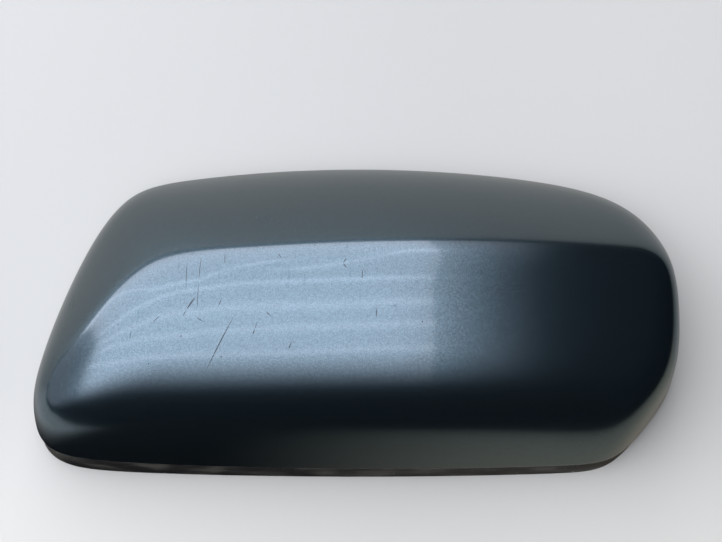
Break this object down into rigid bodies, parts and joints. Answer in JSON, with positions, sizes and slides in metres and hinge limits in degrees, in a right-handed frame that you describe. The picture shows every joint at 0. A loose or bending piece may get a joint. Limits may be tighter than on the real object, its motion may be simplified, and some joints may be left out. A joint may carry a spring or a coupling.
{
  "type": "wing mirror trim",
  "caption": "Painted cap of a car's wing mirror: a thin bowed shell with an unpainted lip, catch loops, locating pins and ribs inside.",
  "frame": {"origin": "under the middle of the cap's outline, in the plane of its rim", "axes": "+X along the cap to the end at the door, +Y across it to the sloped upper side, +Z from the rim to the crown"},
  "size_m": [0.2362, 0.124, 0.0589],
  "materials": {
    "paint": "metallic blue-grey paint under clear lacquer, worn and scratched; raw black plastic lip and inside"
  },
  "bodies": {
    "root": {"mirror_cap": "paint"}
  },
  "joints": []
}
